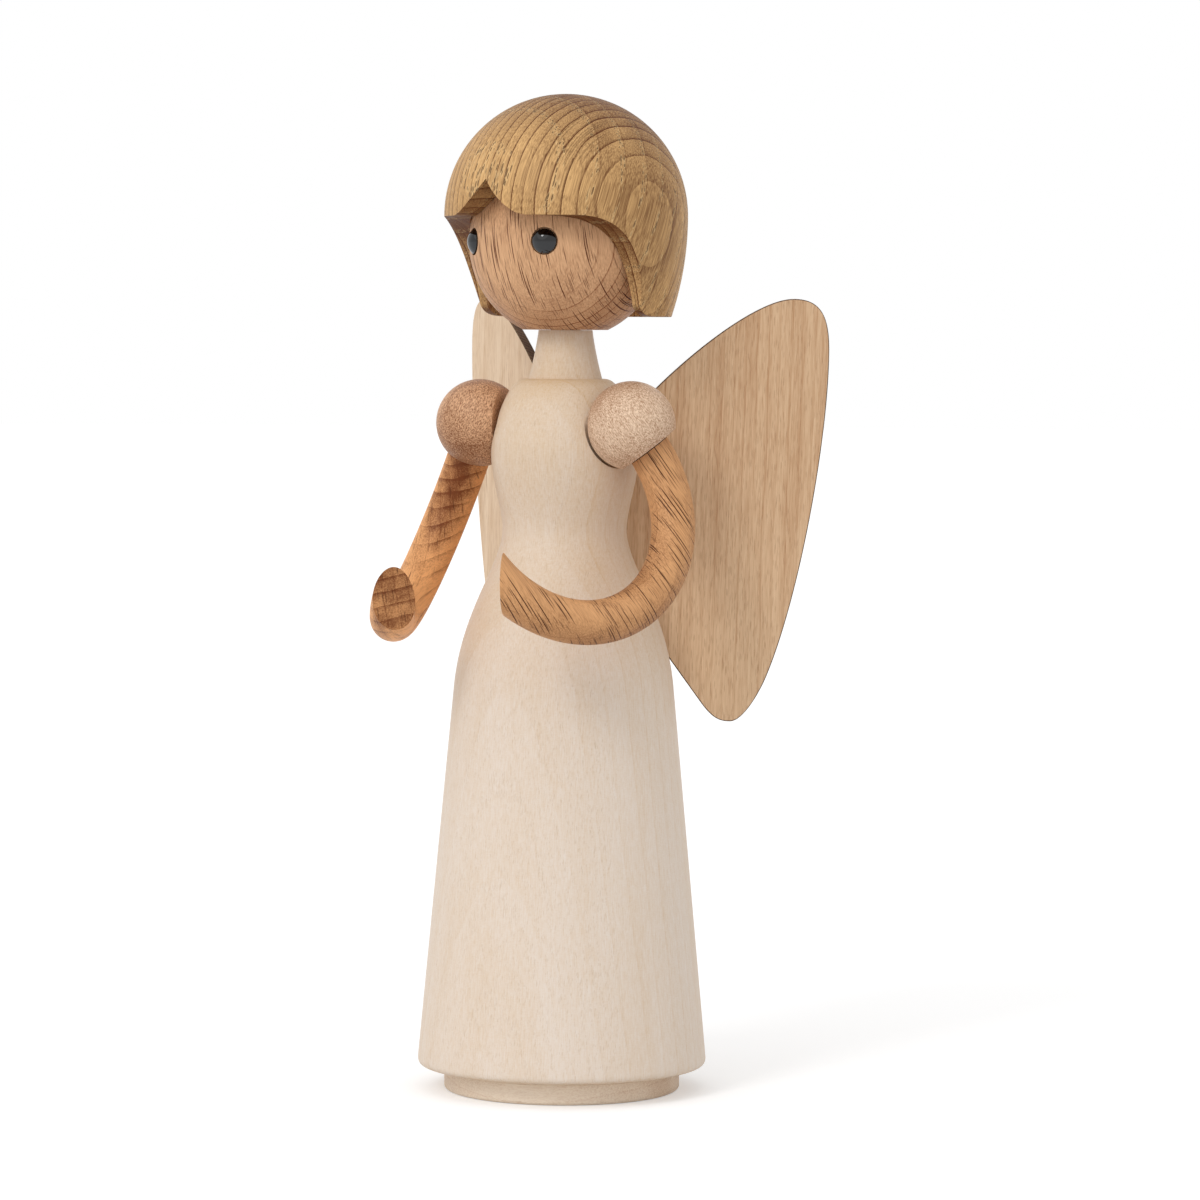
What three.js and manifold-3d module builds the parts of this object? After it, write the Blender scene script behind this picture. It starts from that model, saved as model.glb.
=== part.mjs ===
// Wooden angel figurine with turning head and swinging arms. Millimetres, +Z up.
// The figure stands on Z = 0, faces -Y, and its left side is +X.

import * as THREE from 'three';
import { mergeVertices } from 'three/addons/utils/BufferGeometryUtils.js';
import Module from 'manifold-3d';

// Fits
const fitGap = 0.3;             // room left round every glued or turning fit
const edgeRound = 0.8;          // broken edges of turned pieces

// Foot, a disc with a spigot that stands in the skirt
const footRadius = 23.75;
const footHeight = 4.6;
const spigotRadius = 9;
const spigotLength = 9;

// Dress, one turned piece from hem to neck
const hemRadius = 29.2;
const hemRound = 1.7;
const hipRadius = 22.1;
const skirtRise = 76.4;         // hem to the start of the hip
const hipRise = 31.7;           // hip to waist
const waistRadius = 12.45;
const chestRise = 15.8;         // waist to the fullest part of the chest
const chestRadius = 14.85;
const shoulderRise = 14.35;     // chest to neckline
const necklineRadius = 8;
const neckRise = 9.5;
const neckBaseRadius = 7.4;
const neckTopRadius = 5.4;
const neckHollow = 0.35;        // how far the neck curves in from a straight cone
const hipEase = 0.49;           // shares of each rise over which a curve leaves its tangent
const waistEase = 0.22;
const bodiceEase = 0.25;
const chestEase = 0.38;
const shoulderEase = 0.28;
const collarEase = 0.54;

// Head, a ball turning on a dowel
const ballRadius = 19.4;
const ballFlatDepth = 1.95;     // flat under the ball, where it sits on the neck
const dowelRadius = 3;
const dowelNeckDepth = 11;
const dowelHeadDepth = 14;
const headTurn = -11.2;         // degrees, towards the figure's right

// Eyes, beads on shanks
const eyeAngle = 29.8;          // degrees from straight ahead
const eyeRadius = 2.42;
const eyeProud = 1.1;
const eyeSeat = 0.8;
const shankRadius = 0.9;
const shankLength = 5;

// Hair, a dome hollowed to fit the ball, cut away round the face
const hairWall = 5;             // from the ball to the dome's side
const hairLip = 1.5;            // wall left at the level cut below
const hairEdge = 0.4;           // broken edge of that cut
const domeLift = 5.2;           // dome centre above ball centre
const hairDrop = 14.8;          // ball centre to the level cut below
const fringeRise = 5.05;        // fringe edge above ball centre
const lockFront = 1.95;         // side lock edge ahead of ball centre
const lockSweep = 15;           // hollow curve from the side lock forward to the fringe
const lockLean = 3.5;           // how far that curve leans forward as it leaves the lock
const lockFoot = 5.5;           // length and height of the side lock's rounded foot
const lockRound = 3;
const partingRise = 7.1;        // parting above the fringe edge
const partingHalf = 10;         // from the parting to where each half fringe runs level
const partingEase = 0.61;       // share of that half over which the edge stays near level

// Shoulders, sleeve balls on pins
const pinAngle = 12.4;          // degrees that the pins point ahead of sideways
const pinRise = 5.3;            // pins above the fullest part of the chest
const pinRadius = 1.75;
const pinBodyDepth = 7.5;
const pinSleeveDepth = 4.5;
const seatDepth = 2.15;          // sleeve seats sunk below the fullest part of the chest
const sleeveRadius = 8.82;
const sleeveInnerFlat = 5.2;    // flat towards the body, from the ball's centre
const sleeveArmFlat = 5.7;      // flat that the arm leaves, from the ball's centre

// Arms, round rod bent to half a ring, each palm cut to its own gesture
const armSplay = 65;            // degrees between the pin and the start of the arm
const armRadius = 4.46;
const armBend = 24.8;           // bend radius on the rod's centre line
const bendStart = 3.3;          // start of the bend, from the sleeve's centre
const handSlant = 46;           // degrees that a palm is cut off square
const leftSwing = 29;           // degrees back from hanging straight down
const leftHand = 168.5;         // degrees of bend up to the palm
const leftRoll = 30;            // degrees that the slant turns from inwards to outwards of the bend
const rightSwing = 32;
const rightHand = 161;
const rightRoll = 50;
const tenonRadius = 2.5;
const tenonLength = 2.3;

// Wings, thin boards set in saw cuts down the back
const wingThickness = 1.9;
const wingSweep = 32.7;         // degrees back from sideways
const wingSet = 4.6;            // front face behind the axis, at the middle
const rootReach = 5;            // reaches run out along the wing from the middle
const rootLow = -7.1;           // heights are above the waist
const rootHigh = 17.4;
const lowEdge = { reach: 25.2, height: -35, after: 4.2 };
const lowTip = { reach: 31.3, height: -39, heading: 0, before: 2.2, after: 2.4 };
const heel = { reach: 38.6, height: -29.8, heading: 67.6, before: 4.5, after: 17 };
const widest = { reach: 50.8, height: 36, heading: 90, before: 18, after: 7.2 };
const highTip = { reach: 43.6, height: 46.4, heading: 180, before: 5.3, after: 6.6 };
const highEdge = { reach: 15.9, height: 28.3, before: 12.2 };

// Facets
const turnSides = 44;
const ballSides = 36;
const rodSides = 16;
const smallSides = 18;
const curveSteps = 8;           // along each curve of an outline that is cut or extruded
const bendSteps = 32;
const facetLength = 2.8;        // along the curves of a turned profile
const roundSteps = 3;           // least steps along any of them

// Levels, from the foot upwards
const hemLevel = footHeight + fitGap;
const hipLevel = hemLevel + skirtRise;
const waistLevel = hipLevel + hipRise;
const chestLevel = waistLevel + chestRise;
const necklineLevel = chestLevel + shoulderRise;
const neckLevel = necklineLevel + neckRise;
const ballFlatLevel = neckLevel + fitGap;
const ballLevel = ballFlatLevel + ballRadius - ballFlatDepth;
const pinLevel = chestLevel + pinRise;
const sleeveReach = chestRadius - seatDepth + fitGap + sleeveInnerFlat;

const wasm = await Module();
wasm.setup();

// Closed geometry to a solid, with shared corners merged and flat triangles dropped.
function solidFrom(geometry) {
  const bare = geometry.clone();
  bare.deleteAttribute('normal');
  bare.deleteAttribute('uv');
  const merged = mergeVertices(bare, 1e-4);
  const corners = merged.index.array;
  const triVerts = [];
  for (let i = 0; i < corners.length; i += 3) {
    const [a, b, c] = corners.slice(i, i + 3);
    if (a !== b && b !== c && c !== a) triVerts.push(a, b, c);
  }
  const vertProperties = new Float32Array(merged.attributes.position.array);
  return new wasm.Manifold(new wasm.Mesh({
    numProp: 3,
    vertProperties,
    triVerts: new Uint32Array(triVerts),
  }));
}

// Solid back to a geometry.
function geometryFrom(solid) {
  const mesh = solid.getMesh();
  const geometry = new THREE.BufferGeometry();
  geometry.setAttribute('position', new THREE.BufferAttribute(mesh.vertProperties, 3));
  geometry.setIndex(new THREE.BufferAttribute(mesh.triVerts, 1));
  geometry.computeVertexNormals();
  return geometry;
}

// Profile of radius and height turned about Z, from the axis at the bottom to the axis at the top.
function turned(path, sides) {
  const profile = [path.curves[0].getPoint(0)];
  for (const curve of path.curves) {
    const steps = Math.max(roundSteps, Math.round(curve.getLength() / facetLength));
    profile.push(...curve.getPoints(curve.isLineCurve ? 1 : steps).slice(1));
  }
  return new THREE.LatheGeometry(profile, sides).rotateX(Math.PI / 2);
}

// Round rod between two points.
function rod(start, end, radius, sides) {
  const along = end.clone().sub(start);
  const geometry = new THREE.CylinderGeometry(radius, radius, along.length(), sides);
  const up = new THREE.Vector3(0, 1, 0);
  const turn = new THREE.Quaternion().setFromUnitVectors(up, along.normalize());
  const middle = start.clone().add(end).multiplyScalar(0.5);
  return geometry.applyQuaternion(turn).translate(middle.x, middle.y, middle.z);
}

// Block with one face on a plane, filling the side that the normal points to.
function blockBeyond(point, normal, size) {
  const geometry = new THREE.BoxGeometry(size, size, size);
  const turn = new THREE.Quaternion().setFromUnitVectors(new THREE.Vector3(0, 0, 1), normal);
  const middle = point.clone().addScaledVector(normal, size / 2);
  return geometry.applyQuaternion(turn).translate(middle.x, middle.y, middle.z);
}

// Outline of a side view, Y across and Z up, made into a bar along X.
function barAcross(shape, length) {
  const geometry = new THREE.ExtrudeGeometry(shape, {
    depth: length,
    bevelEnabled: false,
    curveSegments: curveSteps,
  });
  geometry.translate(0, 0, -length / 2);
  return geometry.rotateZ(Math.PI / 2).rotateY(Math.PI / 2);
}

// Outline of a front view, X across and Z up, made into a bar from one depth to another.
function barForward(shape, near, far) {
  const geometry = new THREE.ExtrudeGeometry(shape, {
    depth: far - near,
    bevelEnabled: false,
    curveSegments: curveSteps,
  });
  return geometry.rotateX(Math.PI / 2).translate(0, far, 0);
}

// Geometry given in a group's own frame, moved to where the group stands.
function standing(group, geometry) {
  group.updateMatrixWorld(true);
  return geometry.clone().applyMatrix4(group.matrixWorld);
}

function degrees(value) {
  return THREE.MathUtils.degToRad(value);
}

function material(color, roughness) {
  return new THREE.MeshStandardMaterial({ color, roughness, metalness: 0 });
}

function addPiece(parent, name, geometry, finish) {
  const mesh = new THREE.Mesh(geometry, finish);
  mesh.name = name;
  parent.add(mesh);
}

// Foot: disc with broken edges and a spigot on top.
function footDisc() {
  const path = new THREE.Path();
  path.moveTo(0, 0);
  path.lineTo(footRadius - edgeRound, 0);
  path.quadraticCurveTo(footRadius, 0, footRadius, edgeRound);
  path.lineTo(footRadius, footHeight - edgeRound);
  path.quadraticCurveTo(footRadius, footHeight, footRadius - edgeRound, footHeight);
  path.lineTo(spigotRadius, footHeight);
  path.lineTo(spigotRadius, footHeight + spigotLength);
  path.lineTo(0, footHeight + spigotLength);
  return turned(path, turnSides);
}

// Dress: skirt, hip, waist, chest, neckline and neck, with the spigot's socket and the dowel's bore.
function dressProfile() {
  const socketRadius = spigotRadius + fitGap;
  const socketTop = footHeight + spigotLength + fitGap;
  const boreRadius = dowelRadius + fitGap;
  const boreBottom = neckLevel - dowelNeckDepth - fitGap;
  const taper = (hemRadius - hipRadius) / skirtRise;
  const hemTop = hemLevel + hemRound;
  const hipHandle = hipRise * hipEase;
  const collarHandle = (chestRadius - necklineRadius) * collarEase;
  const neckMiddle = (neckBaseRadius + neckTopRadius) / 2 - neckHollow;
  const path = new THREE.Path();
  path.moveTo(0, socketTop);
  path.lineTo(socketRadius, socketTop);
  path.lineTo(socketRadius, hemLevel);
  path.lineTo(hemRadius - hemRound, hemLevel);
  path.quadraticCurveTo(hemRadius, hemLevel, hemRadius - taper * hemRound, hemTop);
  path.lineTo(hipRadius, hipLevel);
  path.bezierCurveTo(
    hipRadius - taper * hipHandle, hipLevel + hipHandle,
    waistRadius, waistLevel - hipRise * waistEase,
    waistRadius, waistLevel,
  );
  path.bezierCurveTo(
    waistRadius, waistLevel + chestRise * bodiceEase,
    chestRadius, chestLevel - chestRise * chestEase,
    chestRadius, chestLevel,
  );
  path.bezierCurveTo(
    chestRadius, chestLevel + shoulderRise * shoulderEase,
    necklineRadius + collarHandle, necklineLevel,
    necklineRadius, necklineLevel,
  );
  path.lineTo(neckBaseRadius, necklineLevel);
  path.quadraticCurveTo(neckMiddle, necklineLevel + neckRise / 2, neckTopRadius, neckLevel);
  path.lineTo(boreRadius, neckLevel);
  path.lineTo(boreRadius, boreBottom);
  path.lineTo(0, boreBottom);
  return path;
}

// Ball with a flat and a bore below, and a stepped socket for each eye.
function headBall() {
  const boreRadius = dowelRadius + fitGap;
  const boreTop = ballFlatLevel + dowelHeadDepth + fitGap;
  const drop = ballRadius - ballFlatDepth;
  const flatRadius = Math.sqrt(ballRadius ** 2 - drop ** 2);
  const startAngle = Math.atan2(-drop, flatRadius);
  const arcSteps = 2 * curveSteps;
  const profile = [
    new THREE.Vector2(0, boreTop),
    new THREE.Vector2(boreRadius, boreTop),
    new THREE.Vector2(boreRadius, ballFlatLevel),
  ];
  const arc = new THREE.EllipseCurve(0, ballLevel, ballRadius, ballRadius, startAngle, Math.PI / 2);
  profile.push(...arc.getPoints(arcSteps).slice(0, -1), new THREE.Vector2(0, ballLevel + ballRadius));
  let ball = solidFrom(new THREE.LatheGeometry(profile, ballSides).rotateX(Math.PI / 2));
  for (const side of [1, -1]) {
    const out = eyeDirection(side);
    const centre = new THREE.Vector3(0, 0, ballLevel);
    const seatDepth = ballRadius - eyeSeat - fitGap;
    const shankDepth = seatDepth - shankLength;
    const beyond = centre.clone().addScaledVector(out, ballRadius + eyeProud);
    const seat = centre.clone().addScaledVector(out, seatDepth);
    const deep = centre.clone().addScaledVector(out, shankDepth);
    ball = ball.subtract(solidFrom(rod(seat, beyond, eyeRadius + fitGap, smallSides)));
    ball = ball.subtract(solidFrom(rod(deep, beyond, shankRadius + fitGap, smallSides)));
  }
  return geometryFrom(ball);
}

function eyeDirection(side) {
  const angle = degrees(eyeAngle) * side;
  return new THREE.Vector3(Math.sin(angle), -Math.cos(angle), 0);
}

// Eye: domed bead on a shank, turned about its own axis and laid along its socket.
function eye(side) {
  const path = new THREE.Path();
  path.moveTo(0, -eyeSeat - shankLength);
  path.lineTo(shankRadius, -eyeSeat - shankLength);
  path.lineTo(shankRadius, -eyeSeat);
  path.lineTo(eyeRadius, -eyeSeat);
  path.lineTo(eyeRadius, 0);
  path.absellipse(0, 0, eyeRadius, eyeProud, 0, Math.PI / 2);
  const out = eyeDirection(side);
  const turn = new THREE.Quaternion().setFromUnitVectors(new THREE.Vector3(0, 0, 1), out);
  const place = out.clone().multiplyScalar(ballRadius);
  return turned(path, smallSides).applyQuaternion(turn).translate(place.x, place.y, ballLevel);
}

// Hair: dome over drawn-in sides, hollowed so the ball goes in from below, cut back from the face
// and parted in front.
function hairCap() {
  const hollowRadius = ballRadius + fitGap;
  const domeRadius = ballRadius + hairWall;
  const domeLevel = ballLevel + domeLift;
  const bottom = ballLevel - hairDrop;
  const sideRise = domeLevel - bottom;
  const sideDraw = domeRadius - hollowRadius - hairLip;
  const sideArc = (sideRise ** 2 + sideDraw ** 2) / (2 * sideDraw);
  const sideAngle = Math.asin((sideRise - hairEdge) / sideArc);
  const bottomRadius = domeRadius - sideArc * (1 - Math.cos(sideAngle));
  const path = new THREE.Path();
  path.moveTo(0, bottom);
  path.lineTo(bottomRadius - hairEdge, bottom);
  path.quadraticCurveTo(bottomRadius, bottom, bottomRadius, bottom + hairEdge);
  path.absarc(domeRadius - sideArc, domeLevel, sideArc, -sideAngle, 0);
  path.absarc(0, domeLevel, domeRadius, 0, Math.PI / 2);
  const hollow = new THREE.Path();
  hollow.moveTo(0, bottom - hairEdge);
  hollow.lineTo(hollowRadius, bottom - hairEdge);
  hollow.lineTo(hollowRadius, ballLevel);
  hollow.absarc(0, ballLevel, hollowRadius, 0, Math.PI / 2);
  let hair = solidFrom(turned(path, turnSides)).subtract(solidFrom(turned(hollow, turnSides)));

  const width = 3 * domeRadius;
  const fringeLevel = ballLevel + fringeRise;
  const faceCut = new THREE.Shape();
  faceCut.moveTo(-width, bottom - edgeRound);
  faceCut.lineTo(lockFoot - lockFront, bottom - edgeRound);
  faceCut.lineTo(lockFoot - lockFront, bottom);
  faceCut.quadraticCurveTo(-lockFront, bottom, -lockFront, bottom + lockRound);
  faceCut.quadraticCurveTo(-lockFront - lockLean, fringeLevel, -lockFront - lockSweep, fringeLevel);
  faceCut.lineTo(-width, fringeLevel);
  hair = hair.subtract(solidFrom(barAcross(faceCut, width)));

  const parting = new THREE.Shape();
  parting.moveTo(-partingHalf, fringeLevel - edgeRound);
  parting.lineTo(partingHalf, fringeLevel - edgeRound);
  parting.lineTo(partingHalf, fringeLevel);
  parting.quadraticCurveTo(partingHalf * partingEase, fringeLevel, 0, fringeLevel + partingRise);
  parting.quadraticCurveTo(-partingHalf * partingEase, fringeLevel, -partingHalf, fringeLevel);
  hair = hair.subtract(solidFrom(barForward(parting, -width, -ballRadius / 2)));
  return geometryFrom(hair);
}

// Direction in which the arm leaves its sleeve, in the shoulder's own frame.
function armStart(side) {
  const splay = degrees(armSplay);
  return new THREE.Vector3(side * Math.cos(splay), 0, -Math.sin(splay));
}

// Sleeve: ball with a flat towards the body and one for the arm, each drilled.
function sleeve(side) {
  const ball = new THREE.SphereGeometry(sleeveRadius, smallSides + 8, smallSides - 4);
  const inward = new THREE.Vector3(-side, 0, 0);
  const along = armStart(side);
  const innerFlat = inward.clone().multiplyScalar(sleeveInnerFlat);
  const armFlat = along.clone().multiplyScalar(sleeveArmFlat);
  const block = 3 * sleeveRadius;
  const pinEnd = inward.clone().multiplyScalar(sleeveInnerFlat - pinSleeveDepth - fitGap);
  const tenonEnd = along.clone().multiplyScalar(sleeveArmFlat - tenonLength - fitGap);
  const pinHole = rod(pinEnd, inward.clone().multiplyScalar(block), pinRadius + fitGap, smallSides);
  const tenonHole = rod(tenonEnd, along.clone().multiplyScalar(block), tenonRadius + fitGap, smallSides);
  const solid = solidFrom(ball.rotateX(Math.PI / 2))
    .subtract(solidFrom(blockBeyond(innerFlat, inward, block)))
    .subtract(solidFrom(blockBeyond(armFlat, along, block)))
    .subtract(solidFrom(pinHole))
    .subtract(solidFrom(tenonHole));
  return geometryFrom(solid);
}

// Centre line of the bent rod: an arc from the sleeve's lower side round to the front.
class ArmBend extends THREE.Curve {
  constructor(along, endAngle) {
    super();
    this.along = along;
    this.ahead = new THREE.Vector3(0, -1, 0);
    this.endAngle = endAngle;
  }

  getPoint(t, target = new THREE.Vector3()) {
    const angle = t * this.endAngle;
    return target.set(0, 0, 0)
      .addScaledVector(this.along, bendStart + armBend * Math.sin(angle))
      .addScaledVector(this.ahead, armBend * (1 - Math.cos(angle)));
  }
}

// Arm: bent rod with a tenon in the sleeve, ending in a palm cut on the slant.
function arm(side) {
  const along = armStart(side);
  const spare = 2 * armRadius / armBend;
  const endAngle = degrees(side > 0 ? leftHand : rightHand);
  const bend = new ArmBend(along, endAngle + spare);
  const section = new THREE.Shape();
  for (let i = 0; i < rodSides; i += 1) {
    const turn = 2 * Math.PI * i / rodSides;
    const corner = new THREE.Vector2(armRadius * Math.cos(turn), armRadius * Math.sin(turn));
    if (i === 0) section.moveTo(corner.x, corner.y);
    else section.lineTo(corner.x, corner.y);
  }
  const rodGeometry = new THREE.ExtrudeGeometry(section, { steps: bendSteps, extrudePath: bend });

  const seat = along.clone().multiplyScalar(sleeveArmFlat + fitGap);
  const block = 6 * armRadius;
  const shoulderCut = blockBeyond(seat, along.clone().negate(), block);

  const tangent = along.clone().multiplyScalar(Math.cos(endAngle))
    .addScaledVector(bend.ahead, Math.sin(endAngle));
  const outward = along.clone().multiplyScalar(Math.sin(endAngle))
    .addScaledVector(bend.ahead, -Math.cos(endAngle));
  const inner = new THREE.Vector3(-side, 0, 0);
  inner.addScaledVector(along, -inner.dot(along)).normalize();
  const roll = degrees(side > 0 ? leftRoll : rightRoll);
  const slant = degrees(handSlant);
  const lean = inner.multiplyScalar(Math.cos(roll)).addScaledVector(outward, Math.sin(roll));
  const palmNormal = tangent.multiplyScalar(Math.cos(slant)).addScaledVector(lean, Math.sin(slant));
  const palm = bend.getPoint(endAngle / bend.endAngle);
  const palmCut = blockBeyond(palm, palmNormal, block);

  const tenonEnd = along.clone().multiplyScalar(sleeveArmFlat - tenonLength);
  const tenonRoot = along.clone().multiplyScalar(sleeveArmFlat + armRadius / 2);
  const solid = solidFrom(rodGeometry)
    .subtract(solidFrom(shoulderCut))
    .subtract(solidFrom(palmCut))
    .add(solidFrom(rod(tenonEnd, tenonRoot, tenonRadius, smallSides)));
  return geometryFrom(solid);
}

// Shoulder pin from deep in the body into the sleeve, in the shoulder's own frame, with room round it.
function shoulderPin(side, room) {
  const bodyEnd = sleeveInnerFlat + fitGap + pinBodyDepth + room;
  const sleeveEnd = sleeveInnerFlat - pinSleeveDepth;
  const start = new THREE.Vector3(-side * bodyEnd, 0, 0);
  const end = new THREE.Vector3(-side * sleeveEnd, 0, 0);
  return rod(start, end, pinRadius + room, smallSides);
}

// Round recess that the sleeve's inner flat turns in, in the shoulder's own frame.
function sleeveSeat(side) {
  const mouth = sleeveReach - chestRadius;
  const radius = Math.sqrt(sleeveRadius ** 2 - mouth ** 2) + fitGap;
  const floor = new THREE.Vector3(-side * (sleeveInnerFlat + fitGap), 0, 0);
  return rod(floor, new THREE.Vector3(0, 0, 0), radius, turnSides);
}

// Wing board in its own frame, front face on Y = 0, with room added all round for its saw cut.
function wingBoard(side, room) {
  const lowHeading = Math.atan2(lowEdge.height - rootLow, lowEdge.reach - rootReach);
  const highHeading = Math.atan2(rootHigh - highEdge.height, rootReach - highEdge.reach);
  const knots = [lowEdge, lowTip, heel, widest, highTip, highEdge].map((knot) => {
    const heading = knot === lowEdge ? lowHeading
      : knot === highEdge ? highHeading
        : degrees(knot.heading);
    const travel = new THREE.Vector2(Math.cos(heading), Math.sin(heading));
    const point = new THREE.Vector2(knot.reach + room * travel.y, knot.height - room * travel.x);
    return {
      point,
      arrive: point.clone().addScaledVector(travel, -(knot.before ?? 0)),
      leave: point.clone().addScaledVector(travel, knot.after ?? 0),
    };
  });
  const place = (point) => [side * point.x, waistLevel + point.y];
  const shape = new THREE.Shape();
  shape.moveTo(...place({ x: rootReach - room, y: rootLow - room }));
  shape.lineTo(...place(knots[0].point));
  for (let i = 1; i < knots.length; i += 1) {
    shape.bezierCurveTo(...place(knots[i - 1].leave), ...place(knots[i].arrive), ...place(knots[i].point));
  }
  shape.lineTo(...place({ x: rootReach - room, y: rootHigh + room }));
  return barForward(shape, -room, wingThickness + room);
}

const angel = new THREE.Group();

const maple = material(0xeed9b5, 0.55);
const footMaple = material(0xe3c6a0, 0.55);
const headBeech = material(0xc98f60, 0.5);
const hairOak = material(0xb58346, 0.5);
const eyeBlack = material(0x0c0d10, 0.08);
const darkBeech = material(0xb9814f, 0.5);
const paleBeech = material(0xdcb896, 0.5);
const armBeech = material(0xb17a49, 0.5);
const pinWood = material(0xd9bd92, 0.6);
const wingBirch = material(0xd3ab7b, 0.55);

// Shoulder and wing frames, and the dress cut to suit them
const shoulders = {};
const wings = {};
let dress = solidFrom(turned(dressProfile(), turnSides));
for (const [name, side] of [['left', 1], ['right', -1]]) {
  const shoulder = new THREE.Group();
  shoulder.rotation.z = -side * degrees(pinAngle);
  shoulder.position.set(side * sleeveReach, 0, pinLevel);
  shoulder.position.applyAxisAngle(new THREE.Vector3(0, 0, 1), shoulder.rotation.z);
  shoulders[name] = shoulder;
  angel.add(shoulder);

  const wing = new THREE.Group();
  wing.position.y = wingSet;
  wing.rotation.z = side * degrees(wingSweep);
  wings[name] = wing;
  angel.add(wing);

  dress = dress
    .subtract(solidFrom(standing(shoulder, sleeveSeat(side))))
    .subtract(solidFrom(standing(shoulder, shoulderPin(side, fitGap))))
    .subtract(solidFrom(standing(wing, wingBoard(side, fitGap))));
}

addPiece(angel, 'foot_disc', footDisc(), footMaple);
addPiece(angel, 'dress_body', geometryFrom(dress), maple);

const head = new THREE.Group();
head.rotation.z = degrees(headTurn);
angel.add(head);
const dowelFoot = new THREE.Vector3(0, 0, neckLevel - dowelNeckDepth);
const dowelTop = new THREE.Vector3(0, 0, ballFlatLevel + dowelHeadDepth);
addPiece(head, 'head_dowel', rod(dowelFoot, dowelTop, dowelRadius, smallSides), pinWood);
addPiece(head, 'head_ball', headBall(), headBeech);
addPiece(head, 'hair_cap', hairCap(), hairOak);

for (const [name, side] of [['left', 1], ['right', -1]]) {
  addPiece(head, `eye_${name}`, eye(side), eyeBlack);

  const swing = new THREE.Group();
  swing.rotation.x = degrees(side > 0 ? leftSwing : rightSwing);
  shoulders[name].add(swing);
  addPiece(swing, `shoulder_pin_${name}`, shoulderPin(side, 0), pinWood);
  addPiece(swing, `sleeve_${name}`, sleeve(side), side > 0 ? paleBeech : darkBeech);
  addPiece(swing, `arm_${name}`, arm(side), armBeech);

  addPiece(wings[name], `wing_${name}`, wingBoard(side, 0), wingBirch);
}

export default angel;
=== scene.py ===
import math
import bmesh
import bpy
from mathutils import Matrix, Vector


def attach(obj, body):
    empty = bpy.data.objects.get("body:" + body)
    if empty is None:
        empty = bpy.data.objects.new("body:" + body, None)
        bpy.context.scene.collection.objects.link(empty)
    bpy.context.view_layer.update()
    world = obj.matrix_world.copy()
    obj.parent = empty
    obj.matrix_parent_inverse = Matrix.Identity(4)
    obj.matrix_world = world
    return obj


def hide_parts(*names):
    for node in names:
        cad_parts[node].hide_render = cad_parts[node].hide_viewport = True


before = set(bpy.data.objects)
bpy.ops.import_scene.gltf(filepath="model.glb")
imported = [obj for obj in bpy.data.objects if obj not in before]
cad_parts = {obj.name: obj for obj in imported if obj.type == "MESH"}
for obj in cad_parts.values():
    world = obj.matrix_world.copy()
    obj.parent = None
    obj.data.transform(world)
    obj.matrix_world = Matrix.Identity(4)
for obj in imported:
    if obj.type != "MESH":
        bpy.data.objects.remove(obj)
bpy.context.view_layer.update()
scene = bpy.context.scene

# Sizes in millimetres and angles in degrees, most of them the CAD source's own
MM = 0.001
CLOSE = 0.0015  # points nearer than this are joined after a cut
PAST = 2.0  # how far a cutter reaches past the surface that it opens
CREASE = 35  # edges sharper than this stay crisp
FIT_GAP = 0.3

FOOT_RADIUS, FOOT_HEIGHT, FOOT_ROUND = 23.75, 4.6, 0.8
HEM_LEVEL, HEM_RADIUS, HEM_ROUND = 4.9, 29.2, 1.7
HIP_LEVEL, HIP_RADIUS = 81.3, 22.1
WAIST_LEVEL, WAIST_RADIUS = 113.0, 12.45
CHEST_LEVEL, CHEST_RADIUS = 128.8, 14.85
NECKLINE_LEVEL, NECKLINE_RADIUS = 143.15, 8.0
NECK_LEVEL, NECK_BASE, NECK_TOP, NECK_HOLLOW = 152.88, 7.4, 5.4, 0.35
# Shares of each rise of the dress over which a curve leaves its tangent
HIP_EASE, WAIST_EASE, BODICE_EASE = 0.49, 0.22, 0.25
CHEST_EASE, SHOULDER_EASE, COLLAR_EASE = 0.38, 0.28, 0.54

BALL_LEVEL, BALL_RADIUS, BALL_FLAT = 170.4, 19.4, 152.95
DOWEL_BORE, NECK_BORE_DEPTH, HEAD_BORE_DEPTH = 3.3, 11.3, 14.3
HEAD_TURN = -11.2
EYE_ANGLE, EYE_RADIUS, EYE_PROUD, EYE_SEAT = 29.8, 2.42, 1.1, 0.8

DOME_LEVEL, DOME_RADIUS, HAIR_BOTTOM = 175.6, 24.4, 155.6
HOLLOW_RADIUS, HAIR_LIP, HAIR_EDGE = 19.7, 1.5, 0.4
FRINGE_LEVEL = 175.45
LOCK_FRONT, LOCK_SWEEP, LOCK_LEAN, LOCK_FOOT, LOCK_ROUND = 1.95, 15.0, 3.5, 5.5, 3.0
PARTING_RISE, PARTING_HALF, PARTING_EASE, PARTING_PAST = 7.1, 10.0, 0.61, 1.0
CUT_AHEAD, CUT_HALF = 70.0, 40.0  # reach of the hair's cutters, ahead and to each side

PIN_ANGLE, PIN_LEVEL = 12.4, 134.1
PIN_BORE, PIN_BORE_END = 2.05, 13.3  # radius, and the bore's end from the sleeve's centre
SLEEVE_REACH, SLEEVE_RADIUS, SLEEVE_INNER, SLEEVE_ARM = 18.2, 8.82, 5.2, 5.7
SEAT_RADIUS, SEAT_DEPTH = 9.32, 1.0  # hollow round the sleeve's ball, and its floor below the sleeve's flat
ARM_SPLAY, ARM_RADIUS, ARM_BEND, BEND_START, HAND_SLANT = 65.0, 4.36, 24.8, 3.3, 46.0
ARM_STEPS, ARM_SIDES = 120, 64
# Side, swing back from hanging down, bend up to the palm, roll of the palm's slant
ARMS = {"left": (1, 29.0, 168.5, 30.0), "right": (-1, 32.0, 161.0, 50.0)}

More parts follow.
